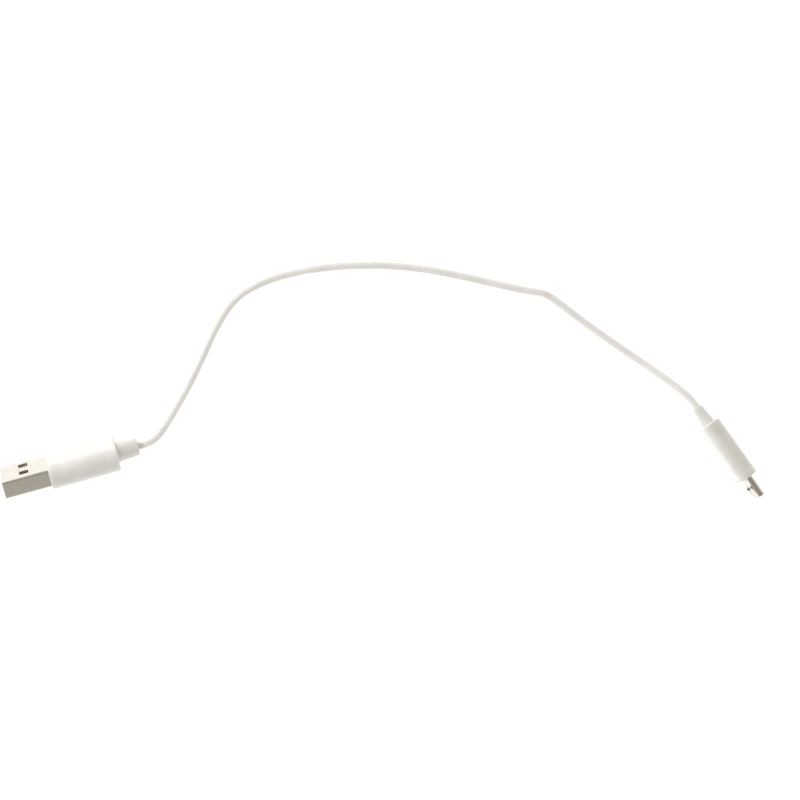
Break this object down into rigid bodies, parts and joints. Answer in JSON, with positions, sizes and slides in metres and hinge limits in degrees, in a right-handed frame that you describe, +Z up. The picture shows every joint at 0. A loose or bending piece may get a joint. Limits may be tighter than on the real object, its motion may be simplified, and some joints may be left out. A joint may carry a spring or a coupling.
{
  "type": "usb a to micro b charging lead",
  "caption": "Short white charging lead: a flat rectangular plug and a small sprung-latch plug joined by a thin round cord, lying in a loose curve.",
  "frame": {"origin": "on the surface that the lead lies on, under the middle of the box round its two plugs", "axes": "+X from the USB-A plug to the micro-B plug, +Z up from the surface"},
  "size_m": [0.1871, 0.0583, 0.0153],
  "materials": {
    "grip_pvc": "soft white PVC, satin",
    "cord_pvc": "soft white PVC, satin",
    "nose_steel": "bright nickel plate",
    "latch_steel": "bare spring steel",
    "contact_metal": "gold flash",
    "carrier_plastic": "glass-filled, matt white",
    "inner_mould_plastic": "natural polyethylene",
    "wire_red": "PVC insulation",
    "wire_black": "PVC insulation",
    "solder": "tin solder"
  },
  "bodies": {
    "lead": {"usb_a_shell": "nose_steel", "usb_a_insulator": "carrier_plastic", "usb_a_solder_joints": "solder", "usb_a_inner_mould": "inner_mould_plastic", "usb_a_overmould": "grip_pvc", "usb_a_strain_relief": "grip_pvc", "usb_a_cord_end": "cord_pvc", "usb_a_contact_vbus": "contact_metal", "usb_a_contact_data_minus": "contact_metal", "usb_a_contact_data_plus": "contact_metal", "usb_a_contact_ground": "contact_metal", "usb_a_wire_vbus": "wire_red", "usb_a_wire_ground": "wire_black", "micro_b_overmould": "grip_pvc", "micro_b_strain_relief": "grip_pvc", "micro_b_cord_end": "cord_pvc", "micro_b_shell": "nose_steel", "micro_b_insulator": "carrier_plastic", "micro_b_solder_joints": "solder", "micro_b_inner_mould": "inner_mould_plastic", "micro_b_contact_vbus": "contact_metal", "micro_b_contact_data_minus": "contact_metal", "micro_b_contact_data_plus": "contact_metal", "micro_b_contact_id": "contact_metal", "micro_b_contact_ground": "contact_metal", "micro_b_wire_vbus": "wire_red", "micro_b_wire_ground": "wire_black", "cord_jacket": "cord_pvc"},
    "latch_left": {"micro_b_latch_left": "latch_steel"},
    "latch_right": {"micro_b_latch_right": "latch_steel"},
    "spring_vbus": {"micro_b_spring_vbus": "contact_metal"},
    "spring_data_minus": {"micro_b_spring_data_minus": "contact_metal"},
    "spring_data_plus": {"micro_b_spring_data_plus": "contact_metal"},
    "spring_id": {"micro_b_spring_id": "contact_metal"},
    "spring_ground": {"micro_b_spring_ground": "contact_metal"}
  },
  "joints": [
    {"name": "latch_left_press", "type": "hinge", "parent": "lead", "child": "latch_left", "pos_m": [0.08862, -0.00518, 0.0073], "axis": [0.1272, 0.0911, 0.9877], "range_deg": [0, 6.8], "stiffness_Nm_per_rad": 0.15},
    {"name": "latch_right_press", "type": "hinge", "parent": "lead", "child": "latch_right", "pos_m": [0.08796, -0.00565, 0.00216], "axis": [0.1272, 0.0911, 0.9877], "range_deg": [0, 6.8], "stiffness_Nm_per_rad": 0.15},
    {"name": "spring_vbus_press", "type": "hinge", "parent": "lead", "child": "spring_vbus", "pos_m": [0.09034, -0.00662, 0.00589], "axis": [0.1272, 0.0911, 0.9877], "range_deg": [0, 2.2], "stiffness_Nm_per_rad": 0.05},
    {"name": "spring_data_minus_press", "type": "hinge", "parent": "lead", "child": "spring_data_minus", "pos_m": [0.09026, -0.00668, 0.00525], "axis": [0.1272, 0.0911, 0.9877], "range_deg": [0, 2.2], "stiffness_Nm_per_rad": 0.05},
    {"name": "spring_data_plus_press", "type": "hinge", "parent": "lead", "child": "spring_data_plus", "pos_m": [0.09017, -0.00674, 0.00461], "axis": [0.1272, 0.0911, 0.9877], "range_deg": [0, 2.2], "stiffness_Nm_per_rad": 0.05},
    {"name": "spring_id_press", "type": "hinge", "parent": "lead", "child": "spring_id", "pos_m": [0.09009, -0.0068, 0.00397], "axis": [0.1272, 0.0911, 0.9877], "range_deg": [0, 2.2], "stiffness_Nm_per_rad": 0.05},
    {"name": "spring_ground_press", "type": "hinge", "parent": "lead", "child": "spring_ground", "pos_m": [0.09001, -0.00686, 0.00333], "axis": [0.1272, 0.0911, 0.9877], "range_deg": [0, 2.2], "stiffness_Nm_per_rad": 0.05}
  ]
}
